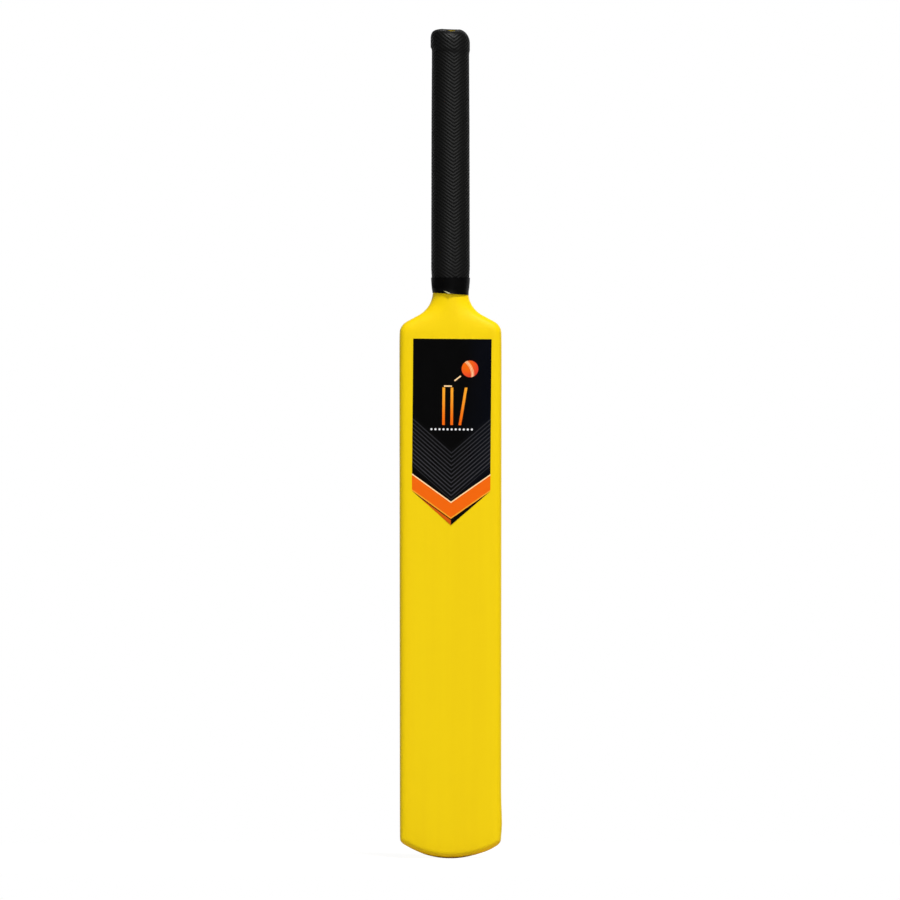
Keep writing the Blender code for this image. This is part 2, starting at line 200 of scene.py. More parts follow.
def face_depth(z):
    """Depth of the hitting face, whose two ends come a little forward."""
    share = min((z - BLADE_FOOT) / (SHOULDER_HEIGHT - BLADE_FOOT), 1)
    return FACE - FACE_BOW * (2 * share - 1) ** 2


def thickness(z):
    """Thickness at the spine: thin at the toe, thickest at the swell, thinner again at the shoulders."""
    if z < SWELL_HEIGHT:
        return TOE_THICKNESS + (SWELL_THICKNESS - TOE_THICKNESS) * smooth(z / SWELL_HEIGHT)
    share = smooth((z - SWELL_HEIGHT) / (SHOULDER_HEIGHT - SWELL_HEIGHT))
    return SWELL_THICKNESS + (SHOULDER_THICKNESS - SWELL_THICKNESS) * share


print("blade from", round(BLADE_FOOT, 4), "to", SHOULDER_HEIGHT, "and up to", SWELL_THICKNESS, "painted_toe_shade")

# %% Half a section of the blade
def turned(start, end, share):
    """The direction part of the way from one direction round to another."""
    angle = start.angle(end)
    if angle < SAME_POINT:
        return start.copy()
    return (start * math.sin((1 - share) * angle) + end * math.sin(share * angle)).normalized()


def scooped_back(x, core_half, edge, spine):
    """Depth of the back at x and the way it faces: a hollow from the edge that rises to the spine."""
    run = core_half - RIDGE_WIDTH / 2
    share = min(max((core_half - x) / run, 0), 1)
    steepness = (spine - edge) * 6 * share * (1 - share) / run
    return edge + (spine - edge) * smooth(share), Vector((steepness, 1, 0)).normalized()


def half_section(core_half, side):
    """The wall, the x and the direction of each point, from the face's middle round to the spine."""
    points = [("face", core_half * i / FACE_STEPS, FRONT) for i in range(FACE_STEPS + 1)]
    points += [("face", core_half, turned(FRONT, side, i / EDGE_STEPS)) for i in range(1, EDGE_STEPS + 1)]
    points += [("side", core_half, side)]
    points += [("back", core_half, turned(side, BACK, i / EDGE_STEPS)) for i in range(EDGE_STEPS)]
    return points + [("back", core_half * i / FACE_STEPS, None) for i in range(FACE_STEPS, -1, -1)]


def core_point(wall, x, facing, core_half, z):
    """A point of the core at height z, and the way it faces."""
    face = face_depth(z) + EDGE_RADIUS
    edge = face_depth(z) + EDGE_THICKNESS - EDGE_RADIUS
    if wall == "face":
        return Vector((x, face, z)), facing
    if wall == "side":
        return Vector((x, (face + edge) / 2, z)), facing
    depth, slope = scooped_back(x, core_half, edge, face_depth(z) + thickness(z) - EDGE_RADIUS)
    return Vector((x, depth, z)), facing or slope


def whole(half):
    """A whole ring from its right half, mirrored."""
    return half + [Vector((-p.x, p.y, p.z)) for p in half[-2:0:-1]]


# %% Rings of the toe, the blade and the shoulders
def toe_ring(share):
    """A ring that follows the toe's curve, from the upright walls at 0 to the underside at 1."""
    core_half = TOE_WIDTH / 2 - EDGE_RADIUS
    half = []
    for wall, x, facing in half_section(core_half, RIGHT):
        core, facing = core_point(wall, x, facing, core_half, toe_core_height(x))
        down = Vector((x, 0, toe_core_height(x) - TOE_RADIUS)).normalized()
        half.append(core + turned(facing, down, share) * EDGE_RADIUS)
    return whole(half)


def blade_ring(core_half, z, side, roundness):
    """A ring round the blade, or part of the way to the neck's round section."""
    half = []
    for step, (wall, x, facing) in enumerate(half_section(core_half, side)):
        core, facing = core_point(wall, x, facing, core_half, z)
        angle = math.pi * step / HALF_STEPS
        depth = GRIP_AXIS - (NECK_RADIUS - EDGE_RADIUS) * math.cos(angle)
        core = core.lerp(Vector((core_half * math.sin(angle), depth, z)), roundness)
        facing = facing.lerp(FRONT * math.cos(angle) + side * math.sin(angle), roundness)
        half.append(core + facing.normalized() * EDGE_RADIUS)
    return whole(half)


def shoulder_steps():
    """Half width of the core, its height and the way the side faces, from the corner up to the neck."""
    corner = Vector((SHOULDER_WIDTH / 2 - CORNER_RADIUS, 0, SHOULDER_HEIGHT))
    steepest = math.pi / 2 - SHOULDER_SLOPE
    reach = CORNER_RADIUS + FILLET_RADIUS
    fillet = Vector((NECK_RADIUS + FILLET_RADIUS, 0, 0))
    across = (corner.x - fillet.x) * math.cos(steepest)
    fillet.z = corner.z + (across + reach) / math.sin(steepest)
    round_corner = CORNER_RADIUS - EDGE_RADIUS
    round_fillet = -FILLET_RADIUS - EDGE_RADIUS
    arcs = [(share, corner, round_corner) for share in np.linspace(0, 1, CORNER_STEPS + 1)[1:]]
    arcs += [(share, fillet, round_fillet) for share in np.linspace(1, 0, FILLET_STEPS + 1)]
    steps = []
    for share, centre, radius in arcs:
        side = Vector((math.cos(steepest * share), 0, math.sin(steepest * share)))
        steps.append((centre + side * radius, side))
    return steps


NECK_TOP = shoulder_steps()[-1][0].z


def bat_rings():
    rings = [toe_ring(1 - i / TOE_STEPS) for i in range(TOE_STEPS + 1)]
    for share in np.linspace(0, 1, BLADE_STEPS + 1)[1:]:
        width = TOE_WIDTH + (SHOULDER_WIDTH - TOE_WIDTH) * share
        z = BLADE_FOOT + (SHOULDER_HEIGHT - BLADE_FOOT) * share
        rings.append(blade_ring(width / 2 - EDGE_RADIUS, z, RIGHT, 0))
    for core, side in shoulder_steps():
        climbed = (core.z - SHOULDER_HEIGHT) / (NECK_TOP - SHOULDER_HEIGHT)
        rings.append(blade_ring(core.x, core.z, side, float(smooth(climbed))))
    return rings


# %% [markdown]
# The handle's rings are round. They run up to a small flange, which keeps the sleeve on, and over the
# rounded end to the blow hole.

# %% Rings of the handle
HANDLE_FOOT = NECK_TOP + 0.002
HANDLE_FOOT_RADIUS = 0.0177
HANDLE_TOP_RADIUS = 0.01724
FLANGE_LENGTH = 0.020
FLANGE_RISE = 0.003
FLANGE_RADIUS = 0.0179
END_RADIUS = 0.006
END_STEPS = 3
BLOW_HOLE_RADIUS = 0.004


def handle_rings():
    flange = HANDLE_END - FLANGE_LENGTH
    profile = [(HANDLE_FOOT_RADIUS, HANDLE_FOOT), (HANDLE_TOP_RADIUS, flange)]
    profile.append((FLANGE_RADIUS, flange + FLANGE_RISE))
    for angle in np.linspace(0, math.pi / 2, END_STEPS + 1):
        radius = FLANGE_RADIUS - END_RADIUS * (1 - math.cos(angle))
        profile.append((radius, HANDLE_END - END_RADIUS * (1 - math.sin(angle))))
    profile.append((BLOW_HOLE_RADIUS, HANDLE_END))
    turns = [math.pi * step / HALF_STEPS for step in range(HALF_STEPS + 1)]
    out = [(math.sin(turn), math.cos(turn)) for turn in turns]
    return [whole([Vector((r * x, GRIP_AXIS - r * y, z)) for x, y in out]) for r, z in profile]

# %% The rings laid out on a grid
TOE_CORNER = (0.043, 0.0505)


def start_grid(name, columns, rows):
    """A piece that starts as a flat grid, one metre square."""
    steps = {"x_subdivisions": columns, "y_subdivisions": rows}
    return start_piece(name, bpy.ops.mesh.primitive_grid_add, size=1, **steps)


def lay_out_bat():
    rings = bat_rings() + handle_rings()
    around, up = len(rings[0]), len(rings) - 1
    bat = start_grid("moulded_bat", around, up)
    seam = bat.data.attributes.new("on_seam", "FLOAT", "POINT")
    for vert in bat.data.vertices:
        step = round((vert.co.x + 0.5) * around) % around
        ring = round((vert.co.y + 0.5) * up)
        vert.co = rings[ring][step]
        seam.data[vert.index].value = step in (SEAM_STEP, around - SEAM_STEP)
    pick_up(bat)
    choose_all()
    bpy.ops.mesh.remove_doubles(threshold=SAME_POINT)
    return bat


def under_toe(edge):
    """Whether an open edge of the lowest ring is on its front chain or its back one."""
    layer = bmesh.from_edit_mesh(bat.data).verts.layers.float["on_seam"]
    at_side = any(vert[layer] for vert in edge.verts)
    return edge.is_boundary and middle(edge).z <= BLADE_FOOT and not at_side


def close_the_toe(bat):
    """Bridges the front of the lowest ring to its back, with a row of points half way between."""
    known = {vert.co.copy().freeze() for vert in bmesh.from_edit_mesh(bat.data).verts}
    choose(bat, "EDGE", under_toe)
    bpy.ops.mesh.bridge_edge_loops(number_cuts=1)
    mesh = bmesh.from_edit_mesh(bat.data)
    layer = mesh.verts.layers.float["on_seam"]
    for vert in mesh.verts:
        if vert.co.copy().freeze() not in known:
            vert[layer] = 1
    low, (near, far) = BLADE_FOOT, TOE_CORNER
    for side in (-1, 1):
        choose(bat, "EDGE", lambda e: e.is_boundary and middle(e).z < low and middle(e).x * side > 0)
        bpy.ops.mesh.edge_face_add()
        choose(bat, "VERT", lambda v: v[layer] > 0.5 and v.co.z < low and near < v.co.x * side < far)
        bpy.ops.mesh.vert_connect()


bat = lay_out_bat()
close_the_toe(bat)
turn_outward()
put_down()
apply_modifier(bat, "SOLIDIFY", thickness=WALL, offset=-1)
print("moulding:", len(bat.data.polygons), "faces with its inner wall")

# %% [markdown]
# A blown bat carries the marks of its mould: a fine raised line where the two halves met, and a pinched
# weld under the toe, where the mould closed off the soft tube of plastic. The line's edges were marked when
# the rings were laid. Bevel widens them to a strip, which is raised by a hair. The weld is a part of that
# strip, made wider and raised again.

# %% The line where the mould's halves met
SEAM_HALF_WIDTH = 0.0005
SEAM_HEIGHT = 0.00012
SEAM_END = NECK_TOP + 0.001


def on_seam(edge):
    """Whether an edge lies on the parting line, on the outside and below the tape."""
    layer = bmesh.from_edit_mesh(bat.data).verts.layers.float["on_seam"]
    place = middle(edge)
    facing = sum((vert.normal for vert in edge.verts), Vector())
    outside = facing.x * place.x > 0 or facing.z < -1
    return all(vert[layer] > 0.9 for vert in edge.verts) and outside and place.z < SEAM_END


pick_up(bat)
seam_edges = choose(bat, "EDGE", on_seam)
bpy.ops.mesh.bevel(offset=SEAM_HALF_WIDTH, offset_type="OFFSET", segments=1, affect="EDGES")
bpy.ops.mesh.extrude_region_shrink_fatten(TRANSFORM_OT_shrink_fatten={"value": SEAM_HEIGHT})
print("parting line:", seam_edges, "edges")

# %% The pinched weld under the toe
PINCH_HALF_LENGTH = 0.031
PINCH_HEIGHT = 0.0002
PINCH_WIDENING = 1.8
TOE_FACE_LENGTH = 0.0068


def on_the_pinch(face):
    under = face.normal.z < -LEVEL and abs(middle(face).x) < PINCH_HALF_LENGTH
    return face.select and under and face.calc_area() < 3 * SEAM_HALF_WIDTH * TOE_FACE_LENGTH


pinched = [face for face in bmesh.from_edit_mesh(bat.data).faces if on_the_pinch(face)]
pinch_depth = sum(middle(face).y for face in pinched) / len(pinched)
choose(bat, "FACE", lambda face: face in pinched)
bpy.ops.transform.resize(value=(1, PINCH_WIDENING, 1), center_override=(0, pinch_depth, 0))
bpy.ops.mesh.extrude_region_shrink_fatten(TRANSFORM_OT_shrink_fatten={"value": PINCH_HEIGHT})
put_down()
print("pinched weld:", len(pinched), "faces")

# %% The rounded moulding
def from_axis(place):
    """Distance of a place from the handle's axis."""
    return math.hypot(place.x, place.y - GRIP_AXIS)


def on_the_blow_hole(edge):
    reach = BLOW_HOLE_RADIUS + 10 * SAME_POINT
    return all(abs(v.co.z - HANDLE_END) < SAME_POINT and from_axis(v.co) < reach for v in edge.verts)


pick_up(bat)
choose(bat, "EDGE", on_the_blow_hole)
bpy.ops.transform.edge_crease(value=1)
put_down()
apply_modifier(bat, "SUBSURF", levels=2, render_levels=2)
bat.data.shade_smooth()
print("rounded moulding:", len(bat.data.polygons), "faces")

# %% [markdown]
# No blown moulding is the same on both sides: here the toe's right corner came out of the mould a little
# fuller and rounder than the left one. A proportional move does that. It carries the points near a place
# along, and those further off less and less.

# %% The rounder corner of the toe
NUDGE_REACH = 0.005
CORNER_NUDGES = [
    ((0.0525, -0.014, 0.034), (0.0009, 0, 0), 0.030),
    ((0.0455, -0.014, 0.0118), (0.0002, 0, -0.0012), 0.023),
    ((0.0525, -0.014, 0.0200), (-0.0006, 0, 0), 0.009),
]


def nudge(piece, place, way, size):
    """Moves the points near a place, and carries those within size of them along."""
    choose(piece, "VERT", lambda vert: (vert.co - Vector(place)).length < NUDGE_REACH)
    bpy.ops.transform.translate(
        value=way,
        use_proportional_edit=True,
        use_proportional_connected=True,
        proportional_edit_falloff="SMOOTH",
        proportional_size=size,
    )


pick_up(bat)
for place, way, size in CORNER_NUDGES:
    nudge(bat, place, way, size)
put_down()
corner_reach = max(vert.co.x for vert in bat.data.vertices if vert.co.z < BLADE_FOOT)
print("toe's right corner reaches", round(corner_reach, 5))

# %% [markdown]
# The sleeve's ribs run round the handle as a zigzag of six columns, so that they lock under the hands. Bump
# in a material wouldn't show in the sleeve's outline, so the ribs are real. One rib is modelled: a circle
# is pulled into the zigzag, then extruded upward through the rib's rise, crest and fall. An array repeats
# it with its seams merged, and two cuts give the straight tube its length. The tube is then laid on the
# sleeve's own outline, over the cuff and round the end of the handle, which gives ribs that follow the
# shape. A sleeve twists a little as it is pulled on, so the pattern turns a few degrees on its way up.

# %% One rib, pulled into a zigzag
RIB_COLUMNS = 6
COLUMN_STEPS = 8
RIB_PITCH = 0.00364
RIB_SLOPE = math.radians(36)
RIB_DEPTH = 0.0004
RIB_ROWS = [(0.18, 0), (0.34, 0.8), (0.47, 1), (0.62, 1), (0.78, 0.7), (1, 0)]
TUBE_RADIUS = 0.019
COLUMN_ANGLE = math.tau / RIB_COLUMNS
ZIGZAG_HEIGHT = COLUMN_ANGLE * TUBE_RADIUS * math.tan(RIB_SLOPE)


def steps_from_point(place):
    """How many steps round the circle a place is from the nearest downward point of the zigzag."""
    angle = math.atan2(place.x, -place.y) % (2 * COLUMN_ANGLE)
    return round(min(angle, 2 * COLUMN_ANGLE - angle) / COLUMN_ANGLE * COLUMN_STEPS)


def one_rib():
    circle_add = bpy.ops.mesh.primitive_circle_add
    grip = start_piece("ribbed_grip", circle_add, vertices=RIB_COLUMNS * COLUMN_STEPS, radius=TUBE_RADIUS)
    pick_up(grip)
    for steps in range(1, COLUMN_STEPS + 1):
        choose(grip, "VERT", lambda vert: steps_from_point(vert.co) == steps)
        bpy.ops.transform.translate(value=(0, 0, ZIGZAG_HEIGHT * steps / COLUMN_STEPS))
    choose(grip, "EDGE", lambda edge: True)
    height, radius = 0, TUBE_RADIUS
    for share, lift in RIB_ROWS:
        rise = share * RIB_PITCH - height
        wider = TUBE_RADIUS + lift * RIB_DEPTH
        bpy.ops.mesh.extrude_edges_move(TRANSFORM_OT_translate={"value": (0, 0, rise)})
        bpy.ops.transform.resize(value=(wider / radius, wider / radius, 1), center_override=(0, 0, 0))
        height, radius = height + rise, wider
    put_down()
    return grip


grip = one_rib()
print("one rib:", len(grip.data.polygons), "faces, zigzag", round(ZIGZAG_HEIGHT, 4), "high")

# %% The rib repeated, and cut to the sleeve's length
END_DROP = 0.0135
END_RUN = 0.0195
SIDE_LENGTH = GRIP_HIGH.z - GRIP_LOW.z - END_DROP
TUBE_LENGTH = SIDE_LENGTH + END_RUN
RIB_COUNT = math.ceil((TUBE_LENGTH + 2 * ZIGZAG_HEIGHT) / RIB_PITCH)

apply_modifier(
    grip,
    "ARRAY",
    count=RIB_COUNT,
    use_relative_offset=False,
    use_constant_offset=True,
    constant_offset_displace=(0, 0, RIB_PITCH),
    use_merge_vertices=True,
    merge_threshold=SAME_POINT,
)
pick_up(grip)
for height, upward in ((ZIGZAG_HEIGHT, -1), (ZIGZAG_HEIGHT + TUBE_LENGTH, 1)):
    choose_all()
    bpy.ops.mesh.bisect(plane_co=(0, 0, height), plane_no=(0, 0, upward), clear_outer=True)
put_down()
print("ribbed tube:", RIB_COUNT, "ribs,", len(grip.data.polygons), "faces")

# %% The sleeve's outline
RIB_STAND = [(0.77, 0.0006), (0.833, 0.00035)]
SOLID_CUFF_LENGTH = 0.0262
CUFF_LENGTH = 0.0210
CUFF_RADIUS = 0.0205
CUFF_SHIFT = -0.0003
CUFF_SLOPE_LENGTH = 0.0034
CUFF_SKEW = 0.0020
END_SHARPNESS = 2.95
SHARPER_LEFT = 1.0
ARC_POINTS = 61
MOUTH_RADIUS = 0.0089


def greatest_radii(node):
    """Heights where a round solid has points, and its greatest radius at each."""
    widest = {}
    for vert in node.data.vertices:
        height = round(vert.co.z, 5)
        widest[height] = max(widest.get(height, 0), from_axis(vert.co))
    heights = sorted(widest)
    return heights, [widest[height] for height in heights]


def side_radius(height, angle):
    """Radius of the ribs' crests on the sleeve's side, and the share of it that is on the cuff."""
    below_cuff = np.minimum(height, GRIP_HIGH.z - SOLID_CUFF_LENGTH)
    below = np.interp(below_cuff, *greatest_radii(solids["grip_sleeve"]))
    below = below + np.interp(height, *np.array(RIB_STAND).T)
    cuff_foot = GRIP_HIGH.z - CUFF_LENGTH - CUFF_SKEW * np.sin(angle)
    on_cuff = smooth((height - cuff_foot + CUFF_SLOPE_LENGTH / 2) / CUFF_SLOPE_LENGTH)
    return below + (CUFF_RADIUS - below) * on_cuff, on_cuff


def round_the_end(share, sharpness):
    """Shares of the way out and up at a share of the run from the cuff's side to the mouth's rim."""
    turn = np.linspace(0, math.pi / 2, ARC_POINTS)
    out, up = np.cos(turn) ** (2 / sharpness), np.sin(turn) ** (2 / sharpness)
    run = np.hypot(np.diff(out) * (CUFF_RADIUS - MOUTH_RADIUS), np.diff(up) * END_DROP)
    run = np.concatenate([[0], np.cumsum(run)])
    return np.interp(share * run[-1], run, out), np.interp(share * run[-1], run, up)


print("cuff", round(2000 * CUFF_RADIUS, 1), "mm across, mouth", round(2000 * MOUTH_RADIUS, 1))

# %% The tube laid on the sleeve's outline
PATTERN_TURNS = [(0.605, 16), (0.655, 11.5), (0.71, 8), (0.765, 12.5), (0.85, 11.5)]
RIB_FADE_AT_MOUTH = 0.6
DOME_HEIGHT = 0.0011
END_TILT = 0.0003
FRONT_LIP_DROP = 0.0024


def places(piece):
    """The x, y and z of a piece's points, each as a row of numbers."""
    flat = np.zeros(len(piece.data.vertices) * 3)
    piece.data.vertices.foreach_get("co", flat)
    return flat.reshape(-1, 3).T


def move_points(piece, x, y, z):
    """Moves a piece's points to these places."""
    piece.data.vertices.foreach_set("co", np.stack([x, y, z], 1).ravel())
    piece.data.update()


def lay_on_outline(grip):
    """Moves each point of the straight tube to its place on the sleeve, ribs standing off the surface."""
    x, y, z = places(grip)
    climbed = z - ZIGZAG_HEIGHT
    rib = np.clip((np.hypot(x, y) - TUBE_RADIUS) / RIB_DEPTH, 0, 1)
    turn = np.interp(GRIP_LOW.z + climbed, *np.array(PATTERN_TURNS).T)
    angle = np.arctan2(x, -y) + np.radians(turn)
    past_side = np.clip((climbed - SIDE_LENGTH) / END_RUN, 0, 1)
    sharpness = END_SHARPNESS - SHARPER_LEFT * np.sin(angle)
    out, up = np.array([round_the_end(*point) for point in zip(past_side, sharpness)]).T
    height = GRIP_LOW.z + np.minimum(climbed, SIDE_LENGTH) + up * END_DROP
    radius, on_cuff = side_radius(height, angle)
    radius = MOUTH_RADIUS + (radius - MOUTH_RADIUS) * out
    depth = RIB_DEPTH * (1 - rib) * (1 - RIB_FADE_AT_MOUTH * (1 - out))
    radius = radius - depth * out
    lower = FRONT_LIP_DROP * np.clip(np.cos(angle), 0, 1) ** 2 + END_TILT * np.sin(angle)
    height = height - (depth - DOME_HEIGHT + lower) * (1 - out)
    aside = radius * np.sin(angle) + CUFF_SHIFT * on_cuff * out
    move_points(grip, aside, GRIP_AXIS - radius * np.cos(angle), height)
    crest = grip.data.attributes.new("rib_crest", "FLOAT", "POINT")
    crest.data.foreach_set("value", rib.astype(np.float32))


lay_on_outline(grip)
print("sleeve laid on its outline, up to", round(max(v.co.z for v in grip.data.vertices), 5))

# %% [markdown]
# The sleeve is a rubber tube and not a skin, so its mouth turns down over the end of the handle and a
# lining runs back to the foot. The mouth's rim is extruded through a few rings, each sized about the
# handle's axis, and the last ring is bridged to the foot. That closes the piece.

# %% The sleeve's lining
LINING_GAP = 0.0003
LINING = [
    (MOUTH_RADIUS - 0.0001, HANDLE_END + 0.0007),
    (MOUTH_RADIUS + 0.0001, HANDLE_END + LINING_GAP),
    (0.0122, HANDLE_END + LINING_GAP),
    (0.0165, HANDLE_END - 0.0016),
    (0.0182, HANDLE_END - 0.006),
    (0.0182, HANDLE_END - 0.017),
    (0.0176, HANDLE_END - 0.0202),
    (0.018, GRIP_LOW.z),
]


def line_the_sleeve(grip):
    pick_up(grip)
    choose(grip, "EDGE", lambda edge: edge.is_boundary and middle(edge).z > HANDLE_END - CUFF_LENGTH)
    reached = MOUTH_RADIUS
    for radius, height in LINING:
        bpy.ops.mesh.extrude_edges_move(TRANSFORM_OT_translate={"value": (0, 0, 0)})
        scale = radius / reached
        bpy.ops.transform.resize(value=(scale, scale, 0), center_override=(0, GRIP_AXIS, height))
        reached = radius
    choose(grip, "EDGE", lambda edge: edge.is_boundary)
    bpy.ops.mesh.bridge_edge_loops()
    turn_outward()
    open_edges = choose(grip, "EDGE", lambda edge: not edge.is_manifold)
    put_down()
    return open_edges


def shade_smooth(piece, sharp_from):
    """Shades a piece smooth, but for edges where it turns by more degrees than this."""
    put_in_hand(piece)
    bpy.ops.object.shade_smooth_by_angle(angle=math.radians(sharp_from))


print("sleeve lined, with", line_the_sleeve(grip), "open edges")
shade_smooth(grip, sharp_from=60)

# %% [markdown]
# The tape is a long thin strip, wound a little over one turn. A real strip is cut, wound and pressed down
# by hand, so its lower edge runs a little askew and its cut end is slanted. The end's corner has come loose
# and curls back, which shows its pale sticky side. A grid is laid out with a row for each step along the
# strip, closer together where the loose end folds. Its points are wound round the neck by a rule, and
# Solidify gives the strip its thickness and its second colour inside.

# %% The wound tape
TAPE_LOW, TAPE_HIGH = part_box("binding_tape")
TAPE_THICKNESS = 0.0002
TAPE_STEPS = (220, 32)
TAPE_START = math.radians(44 + 360)
TAPE_DROP = 0.0004
TAPE_SKEW = 0.0012
CUT_END = [(0, -14), (0.20, -34), (0.34, -64), (1, -76)]
TAPE_PROFILE = [(0.584, 0.0187), (0.5865, 0.01865), (0.5886, 0.0188)]
TAPE_PROFILE += [(0.5917, 0.0193), (0.598, 0.01985), (0.6027, 0.0201)]
OVERLAP_START = math.radians(74)
OVERLAP_RUN = math.radians(24)
OVERLAP_LIFT = 0.0003
WRINKLE = 0.00005
LOOSE_LIFT = 0.0024
LOOSE_LENGTH = 0.013
CURL_RADIUS = 0.0003
CURL_LENGTH = 0.0028
CURL_REACH = 0.17
CURL_FADE = 0.05


def wind(tape):
    """Winds the flat strip's points round the neck, lifts its end and folds back the end's corner."""
    along, across, _ = places(tape)
    along, across = 1 - (0.5 - along) ** 2, across + 0.5
    end = np.radians(np.interp(across, *np.array(CUT_END).T))
    angle = TAPE_START + (end - TAPE_START) * along
    from_end = (angle - end) * NECK_RADIUS
    foot = TAPE_LOW.z - TAPE_DROP - TAPE_SKEW * np.sin(angle)
    height = foot + (TAPE_HIGH.z - foot) * across
    over = smooth((OVERLAP_START - angle) / OVERLAP_RUN)
    lift = LOOSE_LIFT * np.exp(-from_end / LOOSE_LENGTH) * (1 - across) ** 2 * over
    wrinkle = WRINKLE * np.sin(9 * angle + 7 * across) * np.sin(4 * angle + 1) * (1 - across)
    radius = np.interp(height, *np.array(TAPE_PROFILE).T) + over * OVERLAP_LIFT + lift + wrinkle
    curl = smooth((CURL_REACH - across) / CURL_FADE) * over
    past_fold = np.maximum(CURL_LENGTH - from_end, 0) * curl
    bent = np.minimum(past_fold / CURL_RADIUS, math.pi)
    forward = CURL_RADIUS * np.sin(bent) - (past_fold - CURL_RADIUS * bent)
    angle = angle + (past_fold - forward) / NECK_RADIUS
    radius = radius + CURL_RADIUS * (1 - np.cos(bent))
    move_points(tape, radius * np.sin(angle), GRIP_AXIS - radius * np.cos(angle), height)


tape = start_grid("wound_tape", *TAPE_STEPS)
wind(tape)
pick_up(tape)
choose_all()
bpy.ops.mesh.flip_normals()
put_down()
print("tape:", len(tape.data.polygons), "faces before it gets its thickness")

# %% [markdown]
# The sticker is a thin printed sheet, cut to a rectangle with a point below. A grid is laid flat, cut along
# its two slanted edges with bisect, and every point's place on the flat sheet is stored, because the print
# follows the sheet and not the bat. The sheet is then stood up a little askew, as a hand sticks it on,
# dropped on the blade with a Shrinkwrap, and gets its thickness. Its lower tip and one top corner have
# lifted by a hair.

# %% The sticker's sheet
STICKER_LOW, STICKER_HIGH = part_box("face_sticker")
STICKER_HALF = (STICKER_HIGH.x - STICKER_LOW.x) / 2
STICKER_POINT = 0.0355
CLEAR_MARGIN = 0.0006
STICKER_HEIGHT = STICKER_HIGH.z - STICKER_LOW.z + CLEAR_MARGIN
STICKER_STEPS = (28, 64)
STICKER_ASIDE = 0.0003
STICKER_TURN = math.radians(0.5)
STICKER_START = STICKER_LOW.y - 0.01
STICKER_THICKNESS = 0.00013
STICKER_OFF_BLADE = 0.00007
CORNER_LIFT = 0.0003
LIFT_SIZE = 0.010


def sticker_sheet():
    """The flat sheet with its tip at the origin, then stood up in front of the blade."""
    sheet = start_grid("printed_sticker", *STICKER_STEPS)
    sheet.scale = (2 * STICKER_HALF, STICKER_HEIGHT, 1)
    sheet.location = (0, STICKER_HEIGHT / 2, 0)
    bpy.ops.object.transform_apply()
    pick_up(sheet)
    for side in (-1, 1):
        choose_all()
        outward = Vector((side * STICKER_POINT, -STICKER_HALF, 0)).normalized()
        bpy.ops.mesh.bisect(plane_co=(0, 0, 0), plane_no=outward, clear_outer=True)
    put_down()
    print_place = sheet.data.attributes.new("print_place", "FLOAT_VECTOR", "POINT")
    for vert in sheet.data.vertices:
        print_place.data[vert.index].vector = vert.co
    sheet.rotation_euler = (math.pi / 2, STICKER_TURN, 0)
    sheet.location = (STICKER_ASIDE, STICKER_START, STICKER_LOW.z)
    bpy.ops.object.transform_apply()
    return sheet


sheet = sticker_sheet()
apply_modifier(
    sheet,
    "SHRINKWRAP",
    target=bat,
    wrap_method="PROJECT",
    use_project_y=True,
    use_positive_direction=True,
    use_negative_direction=False,
    offset=STICKER_OFF_BLADE,
)
pick_up(sheet)
for corner_x, corner_z in ((0, STICKER_LOW.z), (STICKER_HALF, STICKER_HIGH.z)):
    nudge(sheet, (corner_x, STICKER_LOW.y, corner_z), (0, -CORNER_LIFT, 0), LIFT_SIZE)
put_down()
apply_modifier(sheet, "SOLIDIFY", thickness=STICKER_THICKNESS, offset=1)
print("sticker:", len(sheet.data.polygons), "faces")

# %% [markdown]
# The blow hole in the handle's end is closed by a pressed-in plug, which shows only down the sleeve's
# mouth. A cylinder becomes its shank, drawn in at the tip, and the top is extruded out to the head, whose
# rim is bevelled and whose middle has the small dimple that its gate left.

# %% The plug
PLUG_LOW, PLUG_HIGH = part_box("handle_end_plug")
PLUG_SIDES = 48
PLUG_SHANK = 0.0038
TIP_SHARE = 0.78
PLUG_HEAD = (PLUG_HIGH.x - PLUG_LOW.x) / 2
HEAD_THICKNESS = 0.0009
HEAD_ROUNDING = 0.00025
DIMPLE_INSET = 0.0042
DIMPLE_DEPTH = 0.0003


def make_plug():
    shank_top = PLUG_HIGH.z - HEAD_THICKNESS
    plug = start_piece(
        "pressed_plug",
        bpy.ops.mesh.primitive_cylinder_add,
        vertices=PLUG_SIDES,
        radius=PLUG_SHANK,
        depth=shank_top - PLUG_LOW.z,
        location=(0, GRIP_AXIS, (shank_top + PLUG_LOW.z) / 2),
    )
    bpy.ops.object.transform_apply()
    top_centre = (0, GRIP_AXIS, shank_top)
    pick_up(plug)
    choose(plug, "FACE", lambda face: face.normal.z < -LEVEL)
    bpy.ops.transform.resize(value=(TIP_SHARE, TIP_SHARE, 1), center_override=top_centre)
    choose(plug, "FACE", lambda face: face.normal.z > LEVEL)
    bpy.ops.mesh.extrude_region_move()
    wider = PLUG_HEAD / PLUG_SHANK
    bpy.ops.transform.resize(value=(wider, wider, 1), center_override=top_centre)
    bpy.ops.mesh.extrude_region_move(TRANSFORM_OT_translate={"value": (0, 0, HEAD_THICKNESS)})
    bpy.ops.mesh.inset(thickness=DIMPLE_INSET)
    bpy.ops.transform.translate(value=(0, 0, -DIMPLE_DEPTH))
    choose(plug, "EDGE", lambda edge: abs(from_axis(edge.verts[0].co) - PLUG_HEAD) < SAME_POINT)
    bpy.ops.mesh.bevel(offset=HEAD_ROUNDING, segments=2, affect="EDGES")
    put_down()
    return plug


plug = make_plug()
shade_smooth(plug, sharp_from=35)
print("plug:", len(plug.data.polygons), "faces")

# %% [markdown]
# A finish is a pattern worked out from where a point is on the piece. Written as nodes it is hard to read,
# so small classes hide them. `Amount` is one number that varies over the surface, and adds its own Math
# nodes when it is used in a sum. `Recipe` adds every other node, and a `Finish` is the recipe of one
# material. Colours are mixed and never summed.

